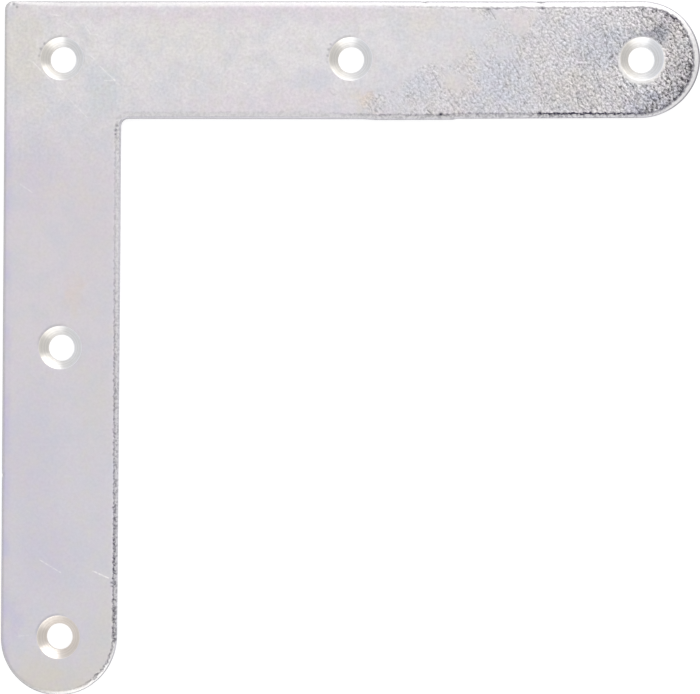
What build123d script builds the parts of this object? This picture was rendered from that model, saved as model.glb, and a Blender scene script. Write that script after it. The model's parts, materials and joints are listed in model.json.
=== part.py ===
"""Flat corner bracket: one L-shaped plate stamped from steel sheet, with countersunk screw holes.

The plate lies on its back face, countersunk face up. The origin is on the axis of the corner
screw hole, at the back face. One arm runs along +X, the other along -Y. Millimetres.
"""
from build123d import *
import os

# Sheet and outline
thickness = 2.0
arm_width = 20.0
arm_x_length = 120.0
arm_y_length = 120.0
outer_corner_radius = 1.4
inner_corner_radius = 1.0

# Screw holes, for countersunk wood screws with a 4 mm shank
hole_diameter = 4.5
sink_diameter = 7.4
sink_angle = 90.0
sink_lip = 0.08

# Edge left by the stamping die: a rolled front edge, a sheared band below it and, down to the
# back face, a torn band that leans inwards
roll_width = 0.85
roll_depth = 0.36
roll_face_blend = 1.2
roll_wall_blend = 0.3
sheared_band = 0.7
torn_band_lean = 0.07

# Places worked out from the sizes above
half_width = arm_width / 2
end_x = arm_x_length - arm_width
end_y = arm_y_length - arm_width
torn_band_height = thickness - roll_depth - sheared_band

outer_corner = (-half_width, half_width)
inner_corner = (half_width, -half_width)
corner_hole = (0, 0)
arm_x_holes = [(end_x / 2, 0), (end_x, 0)]
arm_y_holes = [(0, -end_y / 2), (0, -end_y)]


def sketch_outline():
    """The L: two arms of one width, each closed by a half circle round its end hole."""
    with BuildSketch(Plane.XY) as sketch:
        with BuildLine():
            far_x = (end_x, half_width)
            near_x = (end_x, -half_width)
            near_y = (half_width, -end_y)
            far_y = (-half_width, -end_y)
            Polyline(far_y, outer_corner, far_x)
            ThreePointArc(far_x, (end_x + half_width, 0), near_x)
            Polyline(near_x, inner_corner, near_y)
            ThreePointArc(near_y, (0, -end_y - half_width), far_y)
        make_face()
        fillet(sketch.vertices().sort_by_distance(outer_corner)[0], outer_corner_radius)
        fillet(sketch.vertices().sort_by_distance(inner_corner)[0], inner_corner_radius)
    return sketch.sketch


with BuildPart() as bracket_plate:
    # The blank, cut from the sheet
    add(sketch_outline())
    extrude(amount=thickness)

    # The torn band: the wall leans in towards the back face
    back = bracket_plate.faces().sort_by(Axis.Z)[0]
    chamfer(back.outer_wire().edges(), torn_band_lean, torn_band_height, reference=back)

    # The rolled front edge: a shallow slope, blended into the face and into the wall
    front = bracket_plate.faces().sort_by(Axis.Z)[-1]
    chamfer(front.outer_wire().edges(), roll_width, roll_depth, reference=front)
    slope_top = bracket_plate.faces().sort_by(Axis.Z)[-1].outer_wire().edges()
    fillet(slope_top, roll_face_blend)
    roll_foot = bracket_plate.edges().filter_by_position(
        Axis.Z, thickness - roll_depth, thickness - roll_depth
    )
    fillet(roll_foot, roll_wall_blend)

    # The screw holes, countersunk from the front
    with Locations(Plane.XY.offset(thickness)):
        with Locations(corner_hole, *arm_x_holes, *arm_y_holes):
            CounterSinkHole(
                radius=hole_diameter / 2,
                counter_sink_radius=sink_diameter / 2,
                depth=thickness,
                counter_sink_angle=sink_angle,
            )

    # The turned edge of each countersink is broken
    rims = (
        bracket_plate.edges()
        .filter_by(GeomType.CIRCLE)
        .filter_by_position(Axis.Z, thickness, thickness)
        .filter_by(lambda edge: edge.radius == sink_diameter / 2)
    )
    fillet(rims, sink_lip)

bracket_plate.part.label = "bracket_plate"
os.makedirs("parts", exist_ok=True)
export_step(bracket_plate.part, "parts/bracket_plate.step")
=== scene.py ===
"""Looks of a flat corner bracket: one L-shaped plate stamped from zinc plated steel sheet.

The plate lies on its back face in the row frame: the countersunk front face looks up (+Z), one arm
runs along +X and the other along -Y, and the origin is on the axis of the corner screw hole.
Sizes are in millimetres, and MM turns them into Blender's metres.
"""
import json
import math

import bpy
import numpy as np
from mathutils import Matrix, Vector, kdtree
from mathutils.geometry import delaunay_2d_cdt


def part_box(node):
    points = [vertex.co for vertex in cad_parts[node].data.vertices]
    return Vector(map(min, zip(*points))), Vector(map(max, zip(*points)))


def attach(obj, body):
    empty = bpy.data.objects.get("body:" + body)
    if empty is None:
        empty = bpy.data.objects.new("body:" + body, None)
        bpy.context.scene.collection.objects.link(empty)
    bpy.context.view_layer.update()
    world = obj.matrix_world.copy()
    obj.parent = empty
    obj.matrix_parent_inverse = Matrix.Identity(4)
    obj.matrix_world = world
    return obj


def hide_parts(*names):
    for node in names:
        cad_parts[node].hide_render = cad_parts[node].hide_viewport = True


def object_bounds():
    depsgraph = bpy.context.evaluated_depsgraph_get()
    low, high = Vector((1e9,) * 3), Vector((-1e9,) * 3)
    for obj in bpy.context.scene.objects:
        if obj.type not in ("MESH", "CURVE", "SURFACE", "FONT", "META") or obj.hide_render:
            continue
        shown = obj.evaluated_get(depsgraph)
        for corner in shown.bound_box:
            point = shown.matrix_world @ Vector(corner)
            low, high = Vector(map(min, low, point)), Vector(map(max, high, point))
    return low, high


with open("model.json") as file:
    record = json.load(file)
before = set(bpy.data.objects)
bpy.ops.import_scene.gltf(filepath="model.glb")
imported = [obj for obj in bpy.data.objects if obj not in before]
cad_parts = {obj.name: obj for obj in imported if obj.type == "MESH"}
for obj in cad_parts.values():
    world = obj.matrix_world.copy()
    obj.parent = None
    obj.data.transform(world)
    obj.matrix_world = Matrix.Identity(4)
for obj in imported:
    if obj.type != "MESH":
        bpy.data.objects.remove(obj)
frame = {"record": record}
cad_low, cad_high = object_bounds()

MM = 0.001
NODE = "bracket_plate"

# The plate as the frame gives it
bores = {m["name"]: m for m in frame["record"]["mounts"] if m["kind"] == "bore"}
node_low, node_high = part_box(NODE)
THICK = node_high.z / MM
HALF = node_high.y / MM
END_X = bores["arm_x_end_hole"]["pos_m"][0] / MM
END_Y = bores["arm_y_end_hole"]["pos_m"][1] / MM
PITCH_X = bores["arm_x_middle_hole"]["pos_m"][0] / MM
PITCH_Y = bores["arm_y_middle_hole"]["pos_m"][1] / MM
BORE_R = bores["corner_hole"]["dims"]["r_mm"]
LAND = bores["corner_hole"]["dims"]["length_mm"]
SINK_R = BORE_R + THICK - LAND
HOLES = [(m["pos_m"][0] / MM, m["pos_m"][1] / MM) for m in bores.values()]

# Corners of the outline, and the torn band of the wall: how far it leans in, and where it ends above
OUTER_R = 1.4
INNER_R = 1.45
TORN_LEAN = 0.07
TORN_TOP = 0.94
# How far the roll rounds over into the wall, as a share of its width
ROUND_OVER = 0.38
# How rough the torn band is
TORN_DEPTH = 0.06
# The lip where a countersink rounds over into the face
LIP = 0.06

# The mesh of a countersink: corners round it and rows down it
RING = 96
SINK_STEPS = 44
# The edge ring below which the surface is the cut wall
WALL_FROM = 7
# What stands for far in from the edge, and how far apart points of sheet and countersink may lie to join
FAR = 3.0
WELD = 0.002
# Steps of the mesh: on the plain skin, on the wrinkled skin, on the end of the arm along X, on the back
PLAIN_STEP, WRINKLED_STEP, END_STEP, BACK_STEP = 0.75, 0.2, 0.15, 1.6
# How far its points are pushed off a regular grid, in steps
JITTER = 0.16
# The finer steps start past the slanting line (see WRINKLE_LINE), and at these places along X
FINE_PAST = 57.0
WRINKLED_FROM, END_FROM = 48.0, 84.0
# Steps along the edge: plain, rough and torn. The outer edge is rough past ROUGH_FROM along X. The inner
# edges are rough, and torn below TORN_BELOW and past WRINKLED_FROM
PLAIN_EDGE, ROUGH_EDGE, TORN_EDGE = 0.5, 0.24, 0.17
ROUGH_FROM, TORN_BELOW = 62.0, -35.0
# Where the rings of a rounded and of a torn band lie, as shares of its height or turn
BAND = (1.0, 0.66, 0.33, 0.0)

# Rolled front edge along each stretch of the outline, as stations: how far along the stretch (0 to 1),
# width of the roll, its drop, how softly it leaves the face, how dark the seam is where they meet, and
# how torn the roll's own skin is (both 0 to 1)
ROLL = {
    "top": [
        (0, 1.15, 0.47, 0.22, 0.55, 0), (0.08, 1.2, 0.48, 0.22, 0.4, 0), (0.15, 1.24, 0.48, 0.24, 0.45, 0),
        (0.23, 1.34, 0.48, 0.24, 0.55, 0), (0.34, 1.14, 0.36, 0.28, 0.35, 0),
        (0.42, 1, 0.35, 0.34, 0.15, 0), (0.5, 0.92, 0.32, 0.4, 0, 0), (0.6, 0.88, 0.32, 0.45, 0, 0),
        (0.93, 0.86, 0.34, 0.45, 0, 0), (1, 0.4, 0.24, 0.2, 0, 0)],
    "outer_corner": [(0, 0.4, 0.24, 0.2, 0, 0), (1, 0.38, 0.22, 0.18, 0, 0)],
    "left": [(0, 0.38, 0.22, 0.18, 0, 0), (1, 0.42, 0.22, 0.2, 0, 0)],
    "lower_end": [
        (0, 0.42, 0.22, 0.2, 0, 0), (0.22, 0.45, 0.26, 0.24, 0, 0), (0.32, 0.66, 0.38, 0.22, 0, 0),
        (0.55, 0.7, 0.42, 0.18, 0.1, 0), (0.66, 0.62, 0.38, 0.14, 0.3, 0), (0.76, 0.7, 0.4, 0.12, 0.8, 0),
        (0.9, 0.58, 0.34, 0.12, 0.7, 0), (0.96, 0.52, 0.24, 0.12, 0.8, 0), (0.985, 0.56, 0.2, 0.12, 0.9, 1),
        (1, 0.56, 0.2, 0.12, 0.9, 1)],
    "inner_y": [
        (0, 0.5, 0.2, 0.12, 1, 0.85), (0.2, 0.5, 0.2, 0.12, 1.1, 0.85), (0.28, 0.53, 0.2, 0.12, 0.8, 0.7),
        (0.5, 0.63, 0.2, 0.12, 0.7, 0.5), (0.75, 0.76, 0.2, 0.14, 0.35, 0.2),
        (0.92, 0.76, 0.2, 0.14, 0.3, 0.25), (0.99, 0.66, 0.2, 0.14, 0.45, 0.4),
        (1, 0.72, 0.2, 0.18, 0.2, 0.2)],
    "inner_corner": [(0, 0.72, 0.2, 0.18, 0.2, 0.2), (1, 1, 0.22, 0.35, 0, 0.12)],
    "inner_x": [
        (0, 1.08, 0.22, 0.4, 0, 0.12), (0.36, 1.08, 0.22, 0.4, 0.02, 0.12),
        (0.43, 0.66, 0.2, 0.16, 0.3, 0.2), (0.5, 0.72, 0.2, 0.16, 0.65, 0.35),
        (0.64, 0.72, 0.2, 0.14, 0.65, 0.5), (0.78, 0.66, 0.2, 0.14, 0.65, 0.5),
        (0.82, 0.67, 0.2, 0.12, 1.6, 0.75), (0.9, 0.65, 0.2, 0.12, 1.6, 0.75),
        (1, 0.6, 0.2, 0.12, 1, 0.65)],
    "right_end": [
        (0, 0.6, 0.2, 0.12, 1, 0.65), (0.1, 0.64, 0.26, 0.14, 0.8, 0.35), (0.2, 0.9, 0.4, 0.14, 0.8, 0.05),
        (0.33, 1.02, 0.42, 0.16, 0.9, 0), (0.45, 1.16, 0.46, 0.16, 0.7, 0),
        (0.55, 1.24, 0.48, 0.16, 0.7, 0), (0.7, 1.24, 0.49, 0.16, 0.8, 0), (0.75, 0.92, 0.44, 0.16, 1, 0),
        (0.9, 1.15, 0.47, 0.18, 0.8, 0), (1, 1.15, 0.47, 0.22, 0.55, 0)],
}

# How far the cut runs out past the drawn outline: how far along the stretch, and how much
DRIFT = {"lower_end": [(0, 0), (0.15, 0.06), (0.35, 0.10), (0.5, 0)],
         "inner_y": [(0, 0), (0.4, 0.08), (0.75, 0.16), (1, 0.16)],
         "inner_corner": [(0, 0.16), (1, 0.28)],
         "inner_x": [(0, 0.28), (0.45, 0.28), (0.7, 0.16), (1, 0)],
         "right_end": [(0, 0), (0.2, -0.10), (0.32, -0.10), (0.5, 0)]}

# Small dents pressed into the edge: place, reach, and how far in and down the metal is pushed
DENTS = [
    (62.5, 10, 0.35, 0.1, 0.14), (82.5, 10, 0.55, 0.14, 0.2), (-10, -72.1, 0.4, 0.08, 0.1),
    (6.2, -107.7, 0.35, 0.04, 0.08), (-8.6, 9.6, 0.3, 0.02, 0.1), (-7.9, 9, 0.25, 0, 0.08),
    (65.5, -9.5, 0.3, 0, 0.1)]
# Burr that stands out of the inner edge of the arm along X: from, to, how far, and how long it takes to
# rise and to end
BURR = (52.0, 67.6, 0.16)
BURR_RISE, BURR_END = 2.5, 0.8

# Skin of the plate: depth of its wrinkles and of the tears beside the edge
WRINKLE_DEPTH, TEAR_DEPTH = 0.075, 0.06
# Painted light and shade of the wrinkles: how much they lighten and darken the skin, and darken it in all
WRINKLE_TONE, WRINKLE_LOSS = 0.465, -0.17
# Along X the wrinkles deepen between two places, from a share of their full depth, faster and faster
DEEPEN_FROM, DEEPEN_TO, DEEPEN_LEAST, DEEPEN_POWER = 48.0, 108.0, 0.37, 2.7
# The slant that the skin was pulled in, and the steeper one of its long creases, in degrees
SLANT, STEEP = 42, 58
# The sheet's skin is wrinkled past a slanting line over the arm along X, which starts softly and wanders to
# and fro, and in patches round that line: place, reach, and how far the line shifts there
WRINKLE_LINE = (1.0, -1.25, 0.0)
WRINKLE_START, WRINKLE_FULL = 65.0, 77.0
WRINKLE_WANDER = 6.0
WRINKLE_PATCHES = [
    ((64.8, -6.8), 2.6, 14), ((58, -7), 5, 9), ((68.2, -4), 2.6, -12), ((75.6, -5.4), 5, 7),
    ((73, 8.2), 3, 16), ((79, 5.2), 2.6, -9), ((77, 1.5), 2.4, -8), ((86, 3), 5, 16), ((85, 8), 4, 12),
    ((62.5, -3.5), 4.5, 12), ((53.2, -7.4), 3.6, 16), ((47, -5.8), 1.5, 24)]
# The countersink's tool rubbed the skin smooth and bright round the end hole, mostly below it: the middle
# of that round place
RUBBED = (END_X - 0.15, -0.35, 0.0)

# Small dark marks: place, reach and depth
MARKS = [
    ((-8.5, 9.45), 0.45, 0.55), ((-7.9, 8.95), 0.4, 0.5), ((65.5, -9.5), 0.55, 0.95),
    ((9.15, -90.5), 0.35, 0.7), ((9.15, -91.1), 0.3, 0.5), ((9.6, -11.6), 0.45, 0.6),
    ((9.35, -12.4), 0.45, 0.5), ((9.3, -13.1), 0.35, 0.4), ((54.3, -8.9), 0.5, 0.35),
    ((82.6, -9.2), 0.5, 0.6), ((6.2, -107.2), 0.25, 0.3), ((-10, -72.1), 0.5, 0.4), ((71, 8.3), 0.6, 0.3),
    ((73.5, 8.4), 0.7, 0.4), ((75.2, 8.6), 0.5, 0.4), ((74.5, 7.4), 0.4, 0.3), ((83, 8.7), 0.6, 0.5),
    ((83.8, 7.7), 0.5, 0.4), ((46.5, 2.5), 0.35, 0.3), ((46.15, 1.6), 0.4, 0.4), ((46, 0.5), 0.4, 0.35),
    ((46, -0.6), 0.4, 0.25), ((-3.1, 2.6), 0.35, 0.4), ((-3.7, 1.7), 0.4, 0.4), ((-4, 0.5), 0.4, 0.3),
    ((97.2, 2.9), 0.4, 0.3)]
# Dark cracks: two ends, half their width and depth
CRACKS = [
    ((64.1, -2.4), (65.5, -5), 0.16, 0.45), ((81.3, -2.3), (82.6, -4.6), 0.16, 0.4),
    ((63.2, -8.9), (64.4, -9.8), 0.2, 0.7), ((72.2, 8.7), (74, 8.5), 0.2, 0.5),
    ((73.8, 8.6), (74.9, 6.8), 0.16, 0.5), ((84.3, 3.2), (86, 0.1), 0.14, 0.4),
    ((90.5, 3.9), (92.9, 5.3), 0.16, 0.35), ((95.7, -4.4), (98.4, -7.1), 0.16, 0.4),
    ((99.5, 6.7), (101.4, 4.4), 0.16, 0.45), ((79.2, 9), (81.5, 8.6), 0.2, 0.55),
    ((88, -4.5), (89.9, -8), 0.14, 0.3)]
# Scratches that show on the face: two ends, half their width, and how bright they are
SCRATCHES = [
    ((-2.1, 7.7), (-0.3, 7.4), 0.18, 0.6), ((0.5, 6.4), (1.6, 5.5), 0.2, 0.6),
    ((4.1, 5.5), (4.9, 4.3), 0.2, 0.6), ((4.9, 4.3), (6.2, 4.1), 0.18, 0.5),
    ((4.7, 0.7), (5.9, -0.2), 0.2, 0.5), ((6.6, -1.3), (10, -4.5), 0.17, 0.5),
    ((7.4, -3.8), (9.2, -3.8), 0.15, 0.5), ((9, -3.6), (9.5, -4.1), 0.3, 0.9),
    ((-5, -0.6), (-3.8, -1.9), 0.18, 0.75), ((-3.8, -1.9), (4.5, -10.2), 0.14, 0.4),
    ((-2.6, -8.8), (-1.7, -9.7), 0.3, 0.5), ((-7.1, -21.8), (-5, -23.2), 0.18, 0.4),
    ((15.2, -3.3), (16.9, -4.2), 0.16, 0.35), ((22.5, -3.3), (25.1, -4.4), 0.16, 0.35),
    ((29.9, -3.7), (32.1, -4.4), 0.16, 0.35), ((-3.3, -86.7), (0.3, -88.8), 0.15, 0.6),
    ((5.9, -88.5), (8.6, -89.7), 0.19, 1), ((-7.2, -99.9), (-5.2, -99.7), 0.15, 0.25)]

# Patches of the passivation film: place, reach along X and Y, colour, and how much of it shows
PATCHES = [
    ((-6.5, 1), (5, 12), "CECABF", 0.6), ((7.5, -6), (5, 6), "C3C8CC", 0.7),
    ((30, 8.2), (48, 2.4), "D2C6CF", 0.6), ((22, 4), (14, 6), "D3D0C8", 0.4),
    ((38, -8), (20, 3.5), "D2C9CF", 0.5), ((43, -3.8), (6, 3), "C3C4CE", 0.5),
    ((80, 0), (34, 24), "CCCACD", 0.6), ((58.5, -5.2), (9, 5.5), "C3C5CD", 0.35),
    ((76.5, -4.5), (6.5, 8), "BFC4D0", 0.5), ((68.8, -4), (3, 10), "D2C8C0", 0.45),
    ((79.3, 5.8), (3.5, 3.5), "D3C5BF", 0.4), ((53, -7.2), (2.2, 2.8), "D8C6B0", 0.5),
    ((62, 6), (5, 4), "D2CCC2", 0.5), ((93.5, 2), (7, 6), "B4B8C4", 0.45),
    ((88, -5), (9, 5), "CEC8C2", 0.5), ((105.5, 3), (5, 7), "B4AAA4", 0.3),
    ((107.5, -4.5), (3.8, 5.5), "84808A", 0.38), ((101.5, -8.3), (6.5, 3), "8488A0", 0.45),
    ((104, 7), (4, 3), "9A969E", 0.35), ((100, 4.8), (3.8, 1.7), "8A8D9A", 0.6),
    ((102.7, 3.2), (2.6, 2.6), "80838F", 0.65), ((98.8, -4.7), (4.2, 2.2), "E9E7E5", 0.35),
    ((2.3, -41.7), (2.2, 3.5), "D0C4BC", 0.6), ((-4.5, -68), (6, 16), "C2BCCA", 0.4),
    ((-2, -86), (7, 8), "C2BCCC", 0.5), ((5, -30), (5, 14), "CBC5C7", 0.5),
    ((-4, -20), (6, 9), "C6BFCB", 0.5), ((1, -24), (6, 2), "CFC9C4", 0.5),
    ((6, -60), (4, 12), "CAC7C2", 0.4), ((8, -99), (3.5, 10), "CBC8BE", 0.6),
    ((-7.5, -97), (2.5, 5), "BFB9CE", 0.6), ((0, -109), (12, 8), "CBC6BC", 0.9)]
# How far the patches' edges wander
PATCH_WANDER = 9.0
# Fine mottling of the film, cream, pink and blue-grey: seed, scale, how much of it shows, and colour
MOTTLES = [(3.0, 0.45, 0.42, "CBC9BF"), (7.0, 0.6, 0.33, "CBBFCA"), (11.0, 0.3, 0.42, "BFC4CC")]

# Lamps, in metres: how far off they stand, and for each the direction it stands in (azimuth, with 0 at +X
# and 90 at +Y, and elevation), width and height, and brightness
LAMP_AWAY = 2.0
LAMPS = {"north_softbox": (70, 44, (2.0, 1.2), 1.07), "north_strip": (65, 13, (2.6, 0.8), 2.40),
         "south_softbox": (-73, 36, (2.2, 0.8), 1.32), "south_strip": (-76, 9, (2.5, 0.6), 1.31),
         "east_card": (-4, 38, (1.5, 1.1), 0.50)}
# The table: width, and how far it lies below the plate
TABLE = 4000.0
TABLE_GAP = 0.02
# The camera: where it stands, how it is turned (degrees), its lens and its sensor
EYE = (64.02, -53.6, 400.0)
EYE_TURN = (0.5772, 1.9963, 0.2922)
LENS, SENSOR = 119.05, 36.0

# Kinds of node, and settings that many of them share
MATH, VECTOR_MATH, SEPARATE = "ShaderNodeMath", "ShaderNodeVectorMath", "ShaderNodeSeparateXYZ"
MAP_RANGE, NOISE, MIX = "ShaderNodeMapRange", "ShaderNodeTexNoise", "ShaderNodeMix"
SMOOTH = {"interpolation_type": "SMOOTHSTEP"}
# Brings a place down to Z = 0
FLAT = (1.0, 1.0, 0.0)
# What skin() reads of the mesh, in the order that it takes them
SKIN_READS = ("edge_gap", "seam", "torn", "turned_radius")


def hex_colour(code):
    """Linear RGBA of an sRGB hex colour."""
    parts = [int(code[i:i + 2], 16) / 255 for i in (0, 2, 4)]
    return [p / 12.92 if p <= 0.04045 else ((p + 0.055) / 1.055) ** 2.4 for p in parts] + [1.0]


def node(tree, kind, inputs=(), operation=None, **settings):
    """Adds a node. Its inputs are listed in order, or given by name or number. Each takes a value, a socket
    or the first output of a node."""
    made = tree.nodes.new(kind)
    if operation:
        made.operation = operation
    for name, value in settings.items():
        setattr(made, name, value)
    for key, value in inputs.items() if isinstance(inputs, dict) else enumerate(inputs):
        if isinstance(value, bpy.types.Node):
            value = value.outputs[0]
        if isinstance(value, bpy.types.NodeSocket):
            tree.links.new(value, made.inputs[key])
        else:
            made.inputs[key].default_value = value
    return made


# Outline of the plate

def straight(start, end, normal):
    """A straight stretch: its length, and the place and outward normal at a share of the way along it."""
    start, end, normal = map(np.array, (start, end, normal))
    return math.dist(start, end), lambda t: (start + (end - start) * t, normal)


def arc(centre, radius, start, end, outward=1):
    """The same for a round stretch. Angles are in degrees, and outward is -1 where the corner is hollow."""
    def place(t):
        a = math.radians(start + (end - start) * t)
        spoke = np.array((math.cos(a), math.sin(a)))
        return np.array(centre) + radius * spoke, outward * spoke
    return abs(math.radians(end - start)) * radius, place


STRETCHES = {
    "top": straight((END_X, HALF), (OUTER_R - HALF, HALF), (0.0, 1.0)),
    "outer_corner": arc((OUTER_R - HALF, HALF - OUTER_R), OUTER_R, 90, 180),
    "left": straight((-HALF, HALF - OUTER_R), (-HALF, END_Y), (-1.0, 0.0)),
    "lower_end": arc((0, END_Y), HALF, 180, 360),
    "inner_y": straight((HALF, END_Y), (HALF, -HALF - INNER_R), (1.0, 0.0)),
    "inner_corner": arc((HALF + INNER_R, -HALF - INNER_R), INNER_R, 180, 90, outward=-1),
    "inner_x": straight((HALF + INNER_R, -HALF), (END_X, -HALF), (0.0, -1.0)),
    "right_end": arc((END_X, 0), HALF, -90, 90),
}


def edge_step(x, y):
    """Length of one column of the edge's mesh: short where the edge or the skin beside it is rough."""
    if x > END_FROM:
        return END_STEP
    if x > HALF / 2 and y < -0.9 * HALF:
        return TORN_EDGE if y < TORN_BELOW or x > WRINKLED_FROM else ROUGH_EDGE
    return ROUGH_EDGE if x > ROUGH_FROM else PLAIN_EDGE


def outline():
    """Columns of the edge, counter-clockwise: places, outward normals and what the roll is like there."""
    places, normals, rolls = [], [], []
    for name, (length, place) in STRETCHES.items():
        marks = [0.0]
        while marks[-1] < length:
            marks.append(marks[-1] + edge_step(*place(marks[-1] / length)[0]))
        stations = np.array(ROLL[name])
        for mark in marks[:-1]:
            t = mark / marks[-1]
            point, normal = place(t)
            if name in DRIFT:
                point = point + normal * np.interp(t, *np.transpose(DRIFT[name]))
            if name == "inner_x":
                start, end, out = BURR
                rise = np.interp(point[0], (start, start + BURR_RISE, end, end + BURR_END), (0, 1, 1, 0))
                point = point + normal * out * rise
            places.append(point)
            normals.append(normal)
            rolls.append([np.interp(t, stations[:, 0], stations[:, i]) for i in range(1, 6)])
    return np.array(places), np.array(normals), np.array(rolls)


def edge_rings(rolls):
    """Rings of the edge from the face round to the back: how far in from the outline, and how high."""
    wide, drop, soft = rolls[:, 0], rolls[:, 1], rolls[:, 2]
    slope = drop / wide
    rings = []
    # The roll leaves the face along a parabola
    for u in (-1.0, -0.5, 0.0, 0.5, 1.0):
        rings.append((wide - u * soft, THICK - slope * soft * (u + 1) ** 2 / 4))
    # It goes on down a plain slope
    tilt = np.arctan(slope)
    blend = wide * ROUND_OVER
    run = blend * np.tan((np.pi / 2 - tilt) / 2)
    fillet_in = run * np.cos(tilt)
    for share in (0.67, 0.33):
        at = fillet_in + (wide - soft - fillet_in) * share
        rings.append((at, THICK - slope * (wide - at)))
    # Then it rounds over into the wall
    wall_top = THICK - drop - run
    for share in BAND:
        turn = (np.pi / 2 - tilt) * share
        rings.append((blend * (1 - np.cos(turn)), wall_top + blend * np.sin(turn)))
    # The wall is upright where it was sheared, and leans in where it tore
    rings.append((0 * wide, (TORN_TOP + wall_top) / 2))
    for share in BAND:
        rings.append((0 * wide + TORN_LEAN * (1 - share), 0 * wide + TORN_TOP * share))
    return rings


# Mesh of the plate without its five countersinks

def hex_grid(low, high, step, seed):
    """Points of a triangular grid, each pushed off its place a little, so that no rows show."""
    rows = np.arange(low[1], high[1], step * math.sqrt(3) / 2)
    columns = np.arange(low[0], high[0], step)
    x, y = np.meshgrid(columns, rows)
    x = x + step / 2 * (np.arange(len(rows)) % 2)[:, None]
    points = np.column_stack((x.ravel(), y.ravel()))
    return points + np.random.default_rng(seed).uniform(-JITTER, JITTER, points.shape) * step


def flat_tree(points):
    """A search tree for the nearest of some places in the plane."""
    tree = kdtree.KDTree(len(points))
    for i, (x, y) in enumerate(points):
        tree.insert((x, y, 0), i)
    tree.balance()
    return tree


def depth_inside(points):
    """How far each point lies inside the outline, taken as the union of the two arms."""
    def arm(along, across, length):
        past = np.maximum(along - length, 0)
        back = np.where(along < 0, along + HALF, np.inf)
        return np.minimum(HALF - np.hypot(past, across), back)
    x, y = points[:, 0], points[:, 1]
    return np.maximum(arm(x, y, END_X), arm(-y, x, -END_Y))


def fill(loop, hole_r, points, spare):
    """Triangles between an outer loop and five round holes. Points too near a boundary are left out.
    Gives all the points, in the order loop, hole rings, inner points, and the triangles."""
    keep = np.ones(len(points), bool)
    for hole in HOLES:
        keep &= np.hypot(*(points - hole).T) > hole_r + spare
    tree = flat_tree(loop)
    inside = depth_inside(points)
    for i in np.nonzero(keep & (inside < FAR))[0]:
        near, _, gap = tree.find((*points[i], 0))
        rim = depth_inside(np.array([near[:2]]))[0]
        keep[i] = inside[i] > rim + spare and gap > spare
    turns = np.arange(RING) * 2 * np.pi / RING
    circle = np.column_stack((np.cos(turns), np.sin(turns))) * hole_r
    everything = np.vstack([loop] + [circle + hole for hole in HOLES] + [points[keep]])
    starts = range(len(loop), len(loop) + RING * len(HOLES), RING)
    rims = [list(range(len(loop)))] + [list(range(first, first + RING)) for first in starts]
    # The faces handed in are the loop and the holes, and a triangle is kept if only the loop owns it
    corners = [Vector(p) for p in everything]
    _, _, faces, origin, _, owners = delaunay_2d_cdt(corners, [], rims, 0, 1e-6, True)
    order = np.array([o[0] for o in origin])
    between = np.array([owner == [0] for owner in owners])
    return everything, order[np.array(faces)][between]


def skin_points():
    """Points for the mesh of the front face, closer together where the skin is wrinkled."""
    def past(points):
        return points @ WRINKLE_LINE[:2] > FINE_PAST
    plain = hex_grid((-HALF, END_Y - HALF), (END_X + HALF, HALF), PLAIN_STEP, 1)
    wrinkled = hex_grid((WRINKLED_FROM, -HALF), (END_FROM + 4, HALF), WRINKLED_STEP, 2)
    end = hex_grid((END_FROM, -HALF), (END_X + HALF, HALF), END_STEP, 3)
    plain = plain[~(past(plain) & (plain[:, 0] > WRINKLED_FROM + 2 * WRINKLED_STEP))]
    wrinkled = wrinkled[past(wrinkled) & (wrinkled[:, 0] < END_FROM)]
    return np.vstack((plain, wrinkled, end))


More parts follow.
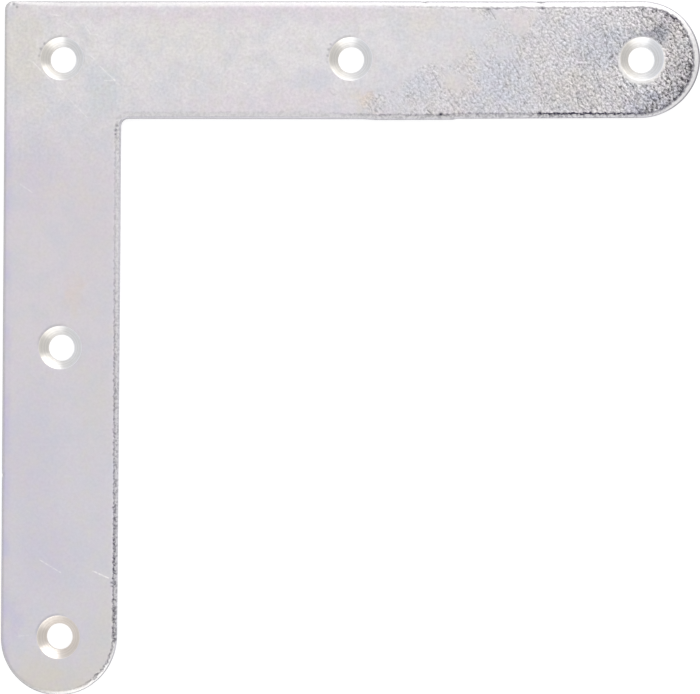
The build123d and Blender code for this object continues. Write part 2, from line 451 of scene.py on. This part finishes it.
def plate_sheet():
    """The plate as one mesh, open at the five holes. Attributes give what the skin needs to know:
    edge_gap, the distance in from the line where the roll starts, and seam and torn from the stations."""
    places, normals, rolls = outline()
    columns = len(places)
    rings = edge_rings(rolls)
    verts = [np.column_stack((places - normals * inward[:, None], height)) for inward, height in rings]
    gaps = [inward - rolls[:, 0] for inward, _ in rings]
    states = [rolls[:, 3:]] * len(rings)
    for x, y, reach, inward, down in DENTS:
        # The torn band isn't dented
        for ring in verts[:-len(BAND)]:
            pressed = np.exp(-((ring[:, 0] - x) ** 2 + (ring[:, 1] - y) ** 2) / reach ** 2)[:, None]
            ring[:, :2] -= normals * pressed * inward
            ring[:, 2:] -= pressed * down
    here = np.arange(columns)
    following = (here + 1) % columns
    last = (len(rings) - 1) * columns
    faces = []
    for a in range(0, last, columns):
        b = a + columns
        faces.append(np.column_stack((a + here, b + here, b + following)))
        faces.append(np.column_stack((a + here, b + following, a + following)))

    # The front face hangs on the first ring and the back face, which is turned over, on the last one
    front = fill(verts[0][:, :2], SINK_R + LIP, skin_points(), spare=0.1)
    back_points = hex_grid((-HALF, END_Y - HALF), (END_X + HALF, HALF), BACK_STEP, 4)
    back = fill(verts[-1][:, :2], BORE_R, back_points, spare=0.4)
    for (points, tris), ring_start, height, winding in ((front, 0, THICK, 1), (back, last, 0.0, -1)):
        start = sum(map(len, verts))
        new = points[columns:]
        verts.append(np.column_stack((new, np.full(len(new), height))))
        faces.append(np.where(tris < columns, tris + ring_start, tris - columns + start)[:, ::winding])
    nearest = flat_tree(places)
    new = front[0][columns:]
    owner = np.array([nearest.find((*p, 0))[1] for p in new])
    away = np.hypot(*(places[owner] - new).T)
    on_back = len(back[0]) - columns
    gaps += [np.minimum(away - rolls[owner, 0], FAR), np.full(on_back, FAR)]
    states += [rolls[owner, 3:], np.zeros((on_back, 2))]

    mesh = bpy.data.meshes.new("plate_sheet")
    mesh.from_pydata((np.vstack(verts) * MM).tolist(), [], np.vstack(faces).tolist())
    seam, torn = np.vstack(states).T.copy()
    for name, value in (("edge_gap", np.concatenate(gaps)), ("seam", seam), ("torn", torn)):
        mesh.attributes.new(name, "FLOAT", "POINT").data.foreach_set("value", value)
    walled = np.zeros(len(mesh.polygons), bool)
    walled[2 * WALL_FROM * columns:2 * last] = True
    mesh.attributes.new("walled", "BOOLEAN", "FACE").data.foreach_set("value", walled)
    mesh.update()
    return mesh


# Patterns of the skin. They read places in mm, flat ones at Z = 0

def in_mm(tree, place):
    """A place in millimetres, and the same brought down to Z = 0."""
    place = node(tree, VECTOR_MATH, {0: place, "Scale": 1 / MM}, "SCALE")
    return place, node(tree, VECTOR_MATH, [place, FLAT], "MULTIPLY")


def spots(tree, flat, places):
    """Sum of soft round spots: places, how far they reach, and how much each one gives."""
    total = None
    for place, reach, amount in places:
        away = node(tree, VECTOR_MATH, [flat, (*place, 0.0)], "DISTANCE").outputs[1]
        spot = node(tree, MAP_RANGE, [away, 0.0, reach, amount, 0.0], **SMOOTH)
        total = spot if total is None else node(tree, MATH, [total, spot], "ADD")
    return total


def strokes(tree, flat, marks):
    """Strength of the nearest of some straight strokes: two ends, half the width, and how strong."""
    seen = None
    for start, end, half, strength in marks:
        way = np.subtract(end, start)
        per_mm = way / np.hypot(*way) ** 2
        off = node(tree, VECTOR_MATH, [flat, (*start, 0.0)], "SUBTRACT")
        share = node(tree, VECTOR_MATH, [off, (*per_mm, 0.0)], "DOT_PRODUCT")
        share = node(tree, "ShaderNodeClamp", [share.outputs[1]])
        foot = node(tree, VECTOR_MATH, {0: (*way, 0.0), "Scale": share}, "SCALE")
        away = node(tree, VECTOR_MATH, [off, foot], "DISTANCE").outputs[1]
        mark = node(tree, MAP_RANGE, [away, half, 0.0, 0.0, strength])
        seen = mark if seen is None else node(tree, MATH, [seen, mark], "MAXIMUM")
    return seen


def uneven(tree, where, scale, detail, span, distortion=0.0):
    """Noise brought to a range. span gives two levels of the noise, and what they become (or 0 and 1)."""
    noise = node(tree, NOISE, {"Vector": where, "Scale": scale, "Detail": detail, "Distortion": distortion})
    return node(tree, MAP_RANGE, [noise, *span])


def folds(tree, where, scale, detail, distortion, span):
    """Thin curled lines, where a noise passes its middle. span gives two distances from the middle, and
    what they become."""
    noise = node(tree, NOISE, {"Vector": where, "Scale": scale, "Detail": detail, "Distortion": distortion})
    off = node(tree, MATH, [noise, 0.5], "SUBTRACT")
    off = node(tree, MATH, [off], "ABSOLUTE")
    return node(tree, MAP_RANGE, [off, *span])


def drawn_out(tree, flat, slant, squeeze):
    """Places turned by a slant in degrees and squeezed, which draws a pattern out along the slant."""
    turned = node(tree, "ShaderNodeVectorRotate", {"Vector": flat, "Angle": math.radians(slant)},
                  rotation_type="Z_AXIS")
    return node(tree, VECTOR_MATH, [turned, (*squeeze, 1.0)], "MULTIPLY")


def bitten(tree, flat):
    """Where a torn edge is bitten out. It reads only X and Y, so the bites run straight down the wall."""
    return uneven(tree, flat, 2.0, 1.5, (0.54, 0.42), 0.6)


def beside_rubbed(tree, flat, span):
    """A value that changes across the rubbed place. span gives how far past the countersink it starts and
    ends to change, and the two values (or 0 and 1)."""
    away = node(tree, VECTOR_MATH, [flat, RUBBED], "DISTANCE").outputs[1]
    first, second, *values = span
    return node(tree, MAP_RANGE, [away, SINK_R + first, SINK_R + second, *values])


def wrinkled(tree, flat, gap, turned):
    """How strongly the skin is wrinkled: past the slanting line, in patches at first, and more and more
    towards the end. The countersinks are cut through the skin."""
    along = node(tree, SEPARATE, [flat])
    wander = uneven(tree, flat, 0.32, 3.0, (0.3, 0.7, -WRINKLE_WANDER, WRINKLE_WANDER))
    past = node(tree, VECTOR_MATH, [flat, WRINKLE_LINE], "DOT_PRODUCT").outputs[1]
    for shift in (wander, spots(tree, flat, WRINKLE_PATCHES)):
        past = node(tree, MATH, [past, shift], "ADD")
    zone = node(tree, MAP_RANGE, [past, WRINKLE_START, WRINKLE_FULL], **SMOOTH)
    growth = node(tree, MAP_RANGE, [along, DEEPEN_FROM, DEEPEN_TO])
    growth = node(tree, MATH, [growth, DEEPEN_POWER], "POWER")
    growth = node(tree, MATH, [growth, 1 - DEEPEN_LEAST, DEEPEN_LEAST], "MULTIPLY_ADD")
    this_arm = node(tree, MAP_RANGE, [along, 40.0, 54.0])
    # Deepest round the end and low on it
    rim = node(tree, MAP_RANGE, [gap, 1.6, 0.2], **SMOOTH)
    at_end = node(tree, MAP_RANGE, [along, 98.0, 106.0, 0.0, 0.35])
    low = node(tree, MAP_RANGE, [along.outputs[1], 3.0, -8.0, 0.94, 1.12])
    deeper = node(tree, MATH, [rim, at_end, low], "MULTIPLY_ADD")
    off_sink = node(tree, MAP_RANGE, [turned, SINK_R + LIP, SINK_R + LIP + 0.25])
    off_rubbed = beside_rubbed(tree, flat, (0.05, 0.5))
    for factor in (growth, this_arm, deeper, off_sink, off_rubbed):
        zone = node(tree, MATH, [zone, factor], "MULTIPLY")
    return zone


def wrinkles(tree, flat):
    """Height of the wrinkles, from about -1.6 to 1: pebbles 0.4 mm wide, drawn out along the slant that the
    skin was pulled in, curled cracks between them, and long creases that lie steeper."""
    slant = drawn_out(tree, flat, SLANT, (0.9, 1.06))
    steep = drawn_out(tree, flat, STEEP, (0.5, 1.2))
    relief = uneven(tree, slant, 2.4, 1.0, (0.3, 0.7, -0.9, 0.9), 0.3)
    cracks = folds(tree, slant, 1.5, 1.0, 0.4, (0.0, 0.042, -0.85, 0.0))
    creases = folds(tree, steep, 0.55, 2.0, 0.8, (0.006, 0.03, -0.8, 0.04))
    for lines in (cracks, creases):
        relief = node(tree, MATH, [relief, lines], "ADD")
    return relief


def torn_places(tree, flat, gap, seam, torn):
    """How dark and deep the skin is torn: in the seam where the roll starts, which is dark and broken, in
    the bites out of the roll itself, and in the small marks and cracks."""
    bites = bitten(tree, flat)
    middle = node(tree, MATH, [gap], "ABSOLUTE")
    line = node(tree, MAP_RANGE, [middle, 0.32, 0.05], **SMOOTH)
    broken = node(tree, MATH, [bites, 0.4, 0.6], "MULTIPLY_ADD")
    on_roll = node(tree, MAP_RANGE, [gap, 0.15, -0.05])
    bites = node(tree, MATH, [bites, 0.6, 0.4], "MULTIPLY_ADD")
    for factor in (broken, seam):
        line = node(tree, MATH, [line, factor], "MULTIPLY")
    for factor in (on_roll, torn):
        bites = node(tree, MATH, [bites, factor], "MULTIPLY")
    tears = node(tree, MATH, [line, bites], "MAXIMUM")
    tears = node(tree, MATH, [tears, spots(tree, flat, MARKS)], "ADD")
    return node(tree, MATH, [tears, strokes(tree, flat, CRACKS)], "MAXIMUM")


def skin(tree, flat, gap, seam, torn, turned):
    """How deep the skin lies below its plane (mm), the painted light and shade of its wrinkles, and how
    dark its seam and tears are. The mesh's own tree and the zinc material both call this, so that they
    agree.
    gap is the way in from the roll, and turned the distance from the nearest hole's axis."""
    zone = wrinkled(tree, flat, gap, turned)
    # The roll is smooth, and meets the skin along a ragged line
    ragged = uneven(tree, flat, 1.5, 2.0, (0.3, 0.7, -0.16, 0.16))
    gap = node(tree, MATH, [gap, ragged], "ADD")
    off_roll = node(tree, MAP_RANGE, [gap, -0.12, 0.08])
    zone = node(tree, MATH, [zone, off_roll], "MULTIPLY")
    relief = wrinkles(tree, flat)
    # Painted light and shade: lighter on the wrinkles' pebbles, darker in their cracks and over them all
    loss = node(tree, MATH, [zone, WRINKLE_LOSS], "MULTIPLY")
    wrinkle_light_and_shade = node(tree, MATH, [relief, WRINKLE_TONE, loss], "MULTIPLY_ADD")
    wrinkle_light_and_shade = node(tree, MATH, [wrinkle_light_and_shade, zone], "MULTIPLY")
    tears = torn_places(tree, flat, gap, seam, torn)
    depth = node(tree, MAP_RANGE, [relief, 1.0, -1.6])
    for factor in (zone, WRINKLE_DEPTH):
        depth = node(tree, MATH, [depth, factor], "MULTIPLY")
    depth = node(tree, MATH, [tears, TEAR_DEPTH, depth], "MULTIPLY_ADD")
    return depth, wrinkle_light_and_shade, tears


# Countersinks, and the tree that joins them to the sheet

def countersink(tree, given):
    """A grid rolled up into one hole: across it runs the turn, and down it the way from lip to back."""
    grid = node(tree, "GeometryNodeMeshGrid", {"Size X": 1.0, "Size Y": 1.0, "Vertices X": RING + 1,
                                               "Vertices Y": SINK_STEPS})
    where = node(tree, SEPARATE, [node(tree, "GeometryNodeInputPosition")])
    turn = node(tree, MATH, [where.outputs[0], -2 * math.pi], "MULTIPLY")
    over = node(tree, MATH, [0.0, given["Lip"]], "SUBTRACT")
    way = node(tree, MAP_RANGE, [where.outputs[1], 0.5, -0.5, over, given["Thickness"]])
    depth = node(tree, MATH, [given["Thickness"], given["Land"]], "SUBTRACT")
    left = node(tree, MATH, [depth, way], "SUBTRACT")
    cone = node(tree, MATH, [left, 0.0], "MAXIMUM")
    radius = node(tree, MATH, [given["Bore radius"], cone], "ADD")
    # The lip rounds over into the face along a parabola
    past = node(tree, MATH, [way, given["Lip"]], "ADD")
    past = node(tree, MATH, [past, 2.0], "POWER")
    four = node(tree, MATH, [given["Lip"], 4.0], "MULTIPLY")
    rounded = node(tree, MATH, [past, four], "DIVIDE")
    beyond = node(tree, MATH, [way, given["Lip"]], "GREATER_THAN")
    sunk = node(tree, MIX, {0: beyond, 2: rounded, 3: way})
    height = node(tree, MATH, [given["Thickness"], sunk], "SUBTRACT")
    sides = []
    for operation in ("COSINE", "SINE"):
        side = node(tree, MATH, [turn], operation)
        sides.append(node(tree, MATH, [side, radius], "MULTIPLY"))
    rolled = node(tree, "ShaderNodeCombineXYZ", [sides[0], sides[1], height])
    return node(tree, "GeometryNodeSetPosition", {"Geometry": grid, "Position": rolled})


def plate_tree(materials):
    """Lines the five holes of the sheet with countersinks, joins them to it and roughens the skin."""
    store, set_place, set_material, read = ("GeometryNode" + kind for kind in (
        "StoreNamedAttribute", "SetPosition", "SetMaterial", "InputNamedAttribute"))
    tree = bpy.data.node_groups.new("turned_and_plated", "GeometryNodeTree")
    tree.interface.new_socket("Geometry", in_out="INPUT", socket_type="NodeSocketGeometry")
    for name in ("Thickness", "Bore radius", "Land", "Lip"):
        tree.interface.new_socket(name, in_out="INPUT", socket_type="NodeSocketFloat")
    for name in ("Pitch along X", "Pitch along Y"):
        tree.interface.new_socket(name, in_out="INPUT", socket_type="NodeSocketVector")
    tree.interface.new_socket("Geometry", in_out="OUTPUT", socket_type="NodeSocketGeometry")
    given = node(tree, "NodeGroupInput").outputs

    hole = node(tree, store, {"Geometry": countersink(tree, given), "Name": "edge_gap", "Value": FAR})
    hole = node(tree, set_material, {"Geometry": hole, "Material": materials["sink"]})
    row_x = node(tree, "GeometryNodeMeshLine", {"Count": 3, "Offset": given["Pitch along X"]})
    row_y = node(tree, "GeometryNodeMeshLine", {"Count": 2, "Start Location": given["Pitch along Y"],
                                                "Offset": given["Pitch along Y"]})
    centres, whole = (node(tree, "GeometryNodeJoinGeometry") for _ in range(2))
    holes = node(tree, "GeometryNodeInstanceOnPoints", {"Points": centres, "Instance": hole})
    holes = node(tree, "GeometryNodeRealizeInstances", {"Geometry": holes})
    sheet = node(tree, set_material, {"Geometry": given["Geometry"], "Material": materials["skin"]})
    walled = node(tree, read, {"Name": "walled"}, data_type="BOOLEAN")
    sheet = node(tree, set_material, {"Geometry": sheet, "Selection": walled,
                                      "Material": materials["wall"]})
    for piece, join in ((row_x, centres), (row_y, centres), (holes, whole), (sheet, whole)):
        tree.links.new(piece.outputs[0], join.inputs[0])
    whole = node(tree, "GeometryNodeMergeByDistance", {"Geometry": whole, "Distance": WELD * MM})
    # Distance and direction from the nearest hole's axis, which the materials read too
    place = node(tree, "GeometryNodeInputPosition")
    below = node(tree, VECTOR_MATH, [place, FLAT], "MULTIPLY")
    nearest = node(tree, "GeometryNodeProximity", {"Geometry": centres, "Sample Position": below},
                   target_element="POINTS").outputs
    turned = node(tree, MATH, [nearest["Distance"], 1 / MM], "MULTIPLY")
    whole = node(tree, store, {"Geometry": whole, "Name": "turned_radius", "Value": turned})
    spoke = node(tree, VECTOR_MATH, [below, nearest["Position"]], "SUBTRACT")
    spoke = node(tree, VECTOR_MATH, [spoke], "NORMALIZE")
    whole = node(tree, store, {"Geometry": whole, "Name": "turned_spoke", "Value": spoke},
                 data_type="FLOAT_VECTOR")
    # The skin of the front face, down to the middle of the roll, sinks into its wrinkles and tears
    place, flat = in_mm(tree, place)
    known = {name: node(tree, read, {"Name": name}) for name in SKIN_READS}
    depth, _, _ = skin(tree, flat, *known.values())
    height = node(tree, SEPARATE, [place]).outputs[2]
    front = node(tree, MAP_RANGE, [height, THICK - 0.7, THICK - 0.45])
    for factor in (front, -MM):
        depth = node(tree, MATH, [depth, factor], "MULTIPLY")
    sunk = node(tree, "ShaderNodeCombineXYZ", {2: depth})
    whole = node(tree, set_place, {"Geometry": whole, "Offset": sunk})
    # The torn band is rough all round
    rough = node(tree, NOISE, {"Vector": place, "Scale": 2.2, "Detail": 2.0})
    above = node(tree, MAP_RANGE, [height, 0.02, 0.25])
    under = node(tree, MAP_RANGE, [height, TORN_TOP + 0.05, TORN_TOP - 0.1])
    for factor in (above, under, -TORN_DEPTH * MM):
        rough = node(tree, MATH, [rough, factor], "MULTIPLY")
    inward = node(tree, VECTOR_MATH, {0: node(tree, "GeometryNodeInputNormal"), "Scale": rough}, "SCALE")
    on_edge = node(tree, MATH, [known["turned_radius"], SINK_R], "GREATER_THAN")
    whole = node(tree, set_place, {"Geometry": whole, "Selection": on_edge, "Offset": inward})
    node(tree, "NodeGroupOutput", {"Geometry": whole})
    return tree


# Materials

def zinc(name):
    """A bare metallic material: itself, its tree and its shader."""
    material = bpy.data.materials.new(name)
    material.use_nodes = True
    shader = material.node_tree.nodes["Principled BSDF"]
    shader.inputs["Metallic"].default_value = 1.0
    return material, material.node_tree, shader


def finish(tree, shader, colour, rough, relief):
    """Gives a shader its colour and roughness, and a relief in mm as bumps."""
    bump = node(tree, "ShaderNodeBump", {"Height": relief, "Distance": MM})
    tree.links.new(colour, shader.inputs["Base Color"])
    tree.links.new(rough.outputs[0], shader.inputs["Roughness"])
    tree.links.new(bump.outputs[0], shader.inputs["Normal"])


def painted(tree, colour, layers):
    """A colour with layers over it, the lowest first: how much of each shows, and its hex colour."""
    for share, code in layers:
        mix = node(tree, MIX, {0: share, 6: colour, 7: hex_colour(code)}, data_type="RGBA")
        colour = mix.outputs[2]
    return colour


def film(tree, flat, gap):
    """Colour of the thin passivation film: pale grey on the arm along X, lavender down the other and olive
    at its end, with soft patches and a fine mottling. The roll is nearly bare."""
    along = node(tree, SEPARATE, [flat])
    down = along.outputs[1]
    upper = node(tree, MAP_RANGE, [down, 2.0, -22.0], **SMOOTH)
    lower = node(tree, MAP_RANGE, [down, -40.0, -75.0], **SMOOTH)
    # A fitful lavender band down the left edge
    left = node(tree, MAP_RANGE, [along, -7.9, -9.4], **SMOOTH)
    below_top = node(tree, MAP_RANGE, [down, -5.0, -18.0])
    for factor in (below_top, uneven(tree, flat, 0.14, 1.0, (0.4, 0.6, 0.2, 0.8))):
        left = node(tree, MATH, [left, factor], "MULTIPLY")
    layers = [(upper, "CDC8CC"), (lower, "CAC7CD"), (left, "BFB8D2")]
    # Patches, their edges drawn out by a slow wander
    wander = node(tree, NOISE, {"Vector": flat, "Scale": 0.25, "Detail": 3.0, "Roughness": 0.6})
    wander = node(tree, VECTOR_MATH, [wander.outputs[1], (0.5,) * 3], "SUBTRACT")
    wander = node(tree, VECTOR_MATH, {0: wander, "Scale": PATCH_WANDER}, "SCALE")
    wander = node(tree, VECTOR_MATH, [flat, wander], "ADD")
    for place, reach, code, amount in PATCHES:
        off = node(tree, VECTOR_MATH, [wander, (*place, 0.0)], "SUBTRACT")
        off = node(tree, VECTOR_MATH, [off, (1 / reach[0], 1 / reach[1], 0.0)], "MULTIPLY")
        off = node(tree, VECTOR_MATH, [off], "LENGTH").outputs[1]
        share = node(tree, MAP_RANGE, [off, 1.15, 0.2, 0.0, amount], **SMOOTH)
        layers.append((share, code))
    for seed, scale, amount, code in MOTTLES:
        mottle = node(tree, NOISE, {"Vector": flat, "Scale": scale, "Detail": 2.0, "W": seed},
                      noise_dimensions="4D")
        layers.append((node(tree, MAP_RANGE, [mottle, 0.46, 0.72, 0.0, amount]), code))
    rolled = node(tree, MAP_RANGE, [gap, 0.1, -0.3, 0.0, 0.7])
    layers += [(beside_rubbed(tree, flat, (0.1, 0.7, 0.6, 0.0)), "E9E7E3"), (rolled, "D0CFCE")]
    return painted(tree, hex_colour("D6D3D3"), layers)


def zinc_skin():
    """Bright zinc plate with a thin clear passivation, on rolled sheet: a satin pale grey with a faint film
    colour, with painted light and shade where it is wrinkled, a painted highlight beside torn edges and
    painted shade beside the countersinks, and dark oxide in its seams and tears."""
    material, tree, shader = zinc("bright_zinc_plated_skin")
    _, flat = in_mm(tree, node(tree, "ShaderNodeTexCoord").outputs["Object"])
    gap, seam, torn, turned = (node(tree, "ShaderNodeAttribute", attribute_name=name).outputs["Fac"]
                               for name in SKIN_READS)
    depth, wrinkle_light_and_shade, tears = skin(tree, flat, gap, seam, torn, turned)

    # Grain of the plating, drawn coarser than the real crystals so that it shows; finer down the other arm
    grain = node(tree, NOISE, {"Vector": flat, "Scale": 2.0, "Detail": 2.0, "Distortion": 0.4})
    grain = node(tree, MATH, [grain, 0.5], "SUBTRACT")
    down = node(tree, SEPARATE, [flat]).outputs[1]
    even = node(tree, MAP_RANGE, [down, -8.0, -25.0, 0.36, 0.17])
    shade = node(tree, MATH, [grain, even, wrinkle_light_and_shade], "MULTIPLY_ADD")
    shade = node(tree, MATH, [shade, 1.0], "ADD")
    # A painted highlight on the face beside the torn edge, where the face stands up a little
    lip = node(tree, MAP_RANGE, [gap, 0.55, 0.3, 0.0, 0.09])
    shade = node(tree, MATH, [lip, torn, shade], "MULTIPLY_ADD")
    # Painted shade: a thin dark line on the face beside the burr that the turning tool raised on the far
    # side of each countersink
    spoke = node(tree, "ShaderNodeAttribute", attribute_name="turned_spoke").outputs["Vector"]
    side = node(tree, VECTOR_MATH, [spoke, (-0.6, 0.8, 0.0)], "DOT_PRODUCT").outputs[1]
    side = node(tree, MAP_RANGE, [side, 0.5, 0.9, 0.0, -0.2])
    ring = node(tree, MAP_RANGE, [turned, SINK_R + 0.55, SINK_R + 0.2])
    shade = node(tree, MATH, [side, ring, shade], "MULTIPLY_ADD")
    shade = node(tree, "ShaderNodeClamp", [shade, 0.12, 1.35])
    # Bare metal in the scratches, oxide in the tears
    fade = uneven(tree, flat, 1.6, 2.0, (0.38, 0.58, 0.25, 1.0))
    seen = node(tree, MATH, [strokes(tree, flat, SCRATCHES), fade], "MULTIPLY")
    soot = node(tree, MATH, [tears, 0.85], "MULTIPLY", use_clamp=True)
    colour = node(tree, VECTOR_MATH, {0: film(tree, flat, gap), "Scale": shade}, "SCALE")
    colour = painted(tree, colour, [(seen, "EDEBE8"), (soot, "3A3746")])

    rough = node(tree, MATH, [grain, 0.2, 0.38], "MULTIPLY_ADD")
    rough = node(tree, MATH, [soot, 0.2, rough], "MULTIPLY_ADD")
    relief = node(tree, MATH, [grain, 0.006], "MULTIPLY")
    relief = node(tree, MATH, [depth, -0.6, relief], "MULTIPLY_ADD")
    relief = node(tree, MATH, [seen, 0.010, relief], "MULTIPLY_ADD")
    finish(tree, shader, colour, rough, relief)
    return material


def turned_zinc():
    """Zinc over a countersink cut with a turning tool: brighter than the skin, with fine rings round it."""
    material, tree, shader = zinc("zinc_over_turned_cone")
    turned = node(tree, "ShaderNodeAttribute", attribute_name="turned_radius").outputs["Fac"]
    rings = node(tree, NOISE, {"W": turned, "Scale": 5.0, "Detail": 2.0}, noise_dimensions="1D")
    # Creamy on the side towards the plate's left edge, bluish on the other
    spoke = node(tree, "ShaderNodeAttribute", attribute_name="turned_spoke").outputs["Vector"]
    east = node(tree, SEPARATE, [spoke])
    side = node(tree, MAP_RANGE, [east, -0.7, 0.7])
    place = node(tree, SEPARATE, [node(tree, "ShaderNodeTexCoord").outputs["Object"]])
    low = node(tree, MAP_RANGE, [place.outputs[1], -60 * MM, -90 * MM, 0.0, 0.8])
    colour = painted(tree, hex_colour("D6D2CB"), [(side, "DFE1E5"), (low, "D8D1CA")])
    tint = node(tree, MAP_RANGE, [rings, 0.3, 0.7, 0.95, 1.05])
    # Painted shade on the side towards the left edge, and a little painted light on the other side
    painted_shading = node(tree, MAP_RANGE, [east, -1.0, -0.45, 0.92, 1.07])
    for factor in (tint, painted_shading):
        colour = node(tree, VECTOR_MATH, {0: colour, "Scale": factor}, "SCALE")
    rough = node(tree, MAP_RANGE, [rings, 0.3, 0.7, 0.40, 0.32])
    relief = node(tree, MATH, [rings, 0.009], "MULTIPLY")
    finish(tree, shader, colour.outputs[0], rough, relief)
    return material


def sheared_zinc():
    """Zinc over the cut wall: burnished upright lines where the punch sheared it, matt and rough where it
    tore, with painted shade along its top and painted light on the inner walls."""
    material, tree, shader = zinc("zinc_over_sheared_edge")
    place, flat = in_mm(tree, node(tree, "ShaderNodeTexCoord").outputs["Object"])
    along = node(tree, SEPARATE, [place])
    down, height = along.outputs[1], along.outputs[2]
    torn = node(tree, MAP_RANGE, [height, TORN_TOP + 0.06, TORN_TOP - 0.06])
    upright = node(tree, VECTOR_MATH, [place, (1.0, 1.0, 0.12)], "MULTIPLY")
    lines = node(tree, NOISE, {"Vector": upright, "Scale": 5.0, "Detail": 2.0})
    lumps = node(tree, NOISE, {"Vector": place, "Scale": 3.0, "Detail": 3.0})
    pattern = node(tree, MIX, {0: torn, 2: lines, 3: lumps})
    pattern = node(tree, MATH, [pattern, 0.5], "SUBTRACT")
    rounded = node(tree, MAP_RANGE, [height, 1.0, 1.3, 1.0, 0.15])
    pattern = node(tree, MATH, [pattern, rounded], "MULTIPLY")
    streaks = node(tree, MATH, [pattern, 0.9, 0.93], "MULTIPLY_ADD")
    # Painted shade: a dark line where the wall turns into the roll, less of it between the arms
    back = node(tree, MATH, [down, -1.0], "MULTIPLY")
    between = node(tree, MATH, [along, back], "MINIMUM")
    inner = node(tree, MAP_RANGE, [between, HALF - 1.5, HALF - 0.1, 0.0, 0.34])
    upper = node(tree, MAP_RANGE, [down, HALF - 2.0, HALF - 0.1, 0.66, 0.95])
    line = node(tree, MATH, [upper, inner], "ADD")
    painted_shading = node(tree, MAP_RANGE, [height, 1.15, 1.3, 1.0, line])
    # Painted light: the inner walls are drawn brighter, most along the arm down -Y
    facing = node(tree, MAP_RANGE, [down, -HALF - 1.5, -HALF - 0.4, 0.8, 0.15])
    painted_inner_wall_light = node(tree, MATH, [inner, facing, 1.0], "MULTIPLY_ADD")
    # The bites of the torn front edge run on over the corner
    edge = node(tree, "ShaderNodeAttribute", attribute_name="torn").outputs["Fac"]
    bites = node(tree, MATH, [bitten(tree, flat), edge], "MULTIPLY")
    bites = node(tree, MATH, [bites, -0.5, 1.0], "MULTIPLY_ADD")
    colour = painted(tree, hex_colour("B2B0B5"), [(torn, "A3A0A7")])
    for factor in (streaks, painted_shading, painted_inner_wall_light, bites):
        colour = node(tree, VECTOR_MATH, {0: colour, "Scale": factor}, "SCALE")
    rough = node(tree, MAP_RANGE, [torn, 0.0, 1.0, 0.34, 0.55])
    relief = node(tree, MATH, [pattern, 0.02], "MULTIPLY")
    finish(tree, shader, colour.outputs[0], rough, relief)
    return material


# The plate and its studio

def bracket_plate():
    """The plate: its sheet goes through the tree, and comes out as one plain mesh in three materials."""
    blank = bpy.data.objects.new("plate_blank", plate_sheet())
    bpy.context.scene.collection.objects.link(blank)
    modifier = blank.modifiers.new("turning", "NODES")
    modifier.node_group = plate_tree({"skin": zinc_skin(), "sink": turned_zinc(), "wall": sheared_zinc()})
    sizes = {"Thickness": THICK * MM, "Bore radius": BORE_R * MM, "Land": LAND * MM, "Lip": LIP * MM,
             "Pitch along X": (PITCH_X * MM, 0, 0), "Pitch along Y": (0, PITCH_Y * MM, 0)}
    for socket in modifier.node_group.interface.items_tree:
        if socket.name in sizes:
            modifier[socket.identifier] = sizes[socket.name]
    evaluated = blank.evaluated_get(bpy.context.evaluated_depsgraph_get())
    mesh = bpy.data.meshes.new_from_object(evaluated)
    mesh.name = "plate_finish"
    plate = bpy.data.objects.new("plate_finish", mesh)
    bpy.data.objects.remove(blank)
    bpy.context.scene.collection.objects.link(plate)
    mesh.shade_smooth()
    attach(plate, "root")
    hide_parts(NODE)


def floor():
    """A plain white studio table, lit from below too, so that hardly a shadow shows."""
    bpy.ops.mesh.primitive_plane_add(size=TABLE * MM, location=(0, 0, -TABLE_GAP * MM))
    table = bpy.context.object
    table.name = "studio_table"
    material = bpy.data.materials.new("white_table")
    material.use_nodes = True
    shader = material.node_tree.nodes["Principled BSDF"]
    looks = {"Base Color": hex_colour("A0A0A0"), "Roughness": 0.9, "Specular IOR Level": 0.1,
             "Emission Color": hex_colour("FFFFFF"), "Emission Strength": 0.72}
    for name, value in looks.items():
        shader.inputs[name].default_value = value
    table.data.materials.append(material)


def softbox(name, azimuth, elevation, size, radiance):
    """A rectangular lamp that looks at the middle of the bracket."""
    middle = Vector(((cad_low.x + cad_high.x) / 2, (cad_low.y + cad_high.y) / 2, 0))
    a, e = math.radians(azimuth), math.radians(elevation)
    towards = Vector((math.cos(a) * math.cos(e), math.sin(a) * math.cos(e), math.sin(e)))
    data = bpy.data.lights.new(name, "AREA")
    data.shape = "RECTANGLE"
    data.size, data.size_y = size
    data.energy = radiance * math.pi * size[0] * size[1]
    lamp = bpy.data.objects.new(name, data)
    lamp.location = middle + towards * LAMP_AWAY
    lamp.rotation_euler = towards.to_track_quat("Z", "Y").to_euler()
    bpy.context.scene.collection.objects.link(lamp)


def studio():
    """A light tent, palest overhead. To the north and to the south stand a softbox and, lower, a strip that
    lights the walls, and to the east hangs a grey card, darker than the tent behind it."""
    world = bpy.data.worlds.new("studio")
    world.use_nodes = True
    bpy.context.scene.world = world
    tree = world.node_tree
    looking = node(tree, "ShaderNodeTexCoord").outputs["Generated"]
    up = node(tree, SEPARATE, [looking]).outputs[2]
    tent = node(tree, MAP_RANGE, [up, 0.72, 0.95, 0.84, 1.10], **SMOOTH)
    back = tree.nodes["Background"]
    back.inputs["Color"].default_value = hex_colour("FDFDFF")
    tree.links.new(tent.outputs[0], back.inputs["Strength"])
    for name, settings in LAMPS.items():
        softbox(name, *settings)


def camera():
    """Straight above, a little off the middle of the plate, as the photograph was taken."""
    data = bpy.data.cameras.new("camera")
    data.sensor_width = SENSOR
    data.lens = LENS
    eye = bpy.data.objects.new("camera", data)
    eye.location = [x * MM for x in EYE]
    eye.rotation_euler = [math.radians(x) for x in EYE_TURN]
    bpy.context.scene.collection.objects.link(eye)
    bpy.context.scene.camera = eye


bpy.context.scene.view_settings.view_transform = "Standard"
bracket_plate()
floor()
studio()
camera()
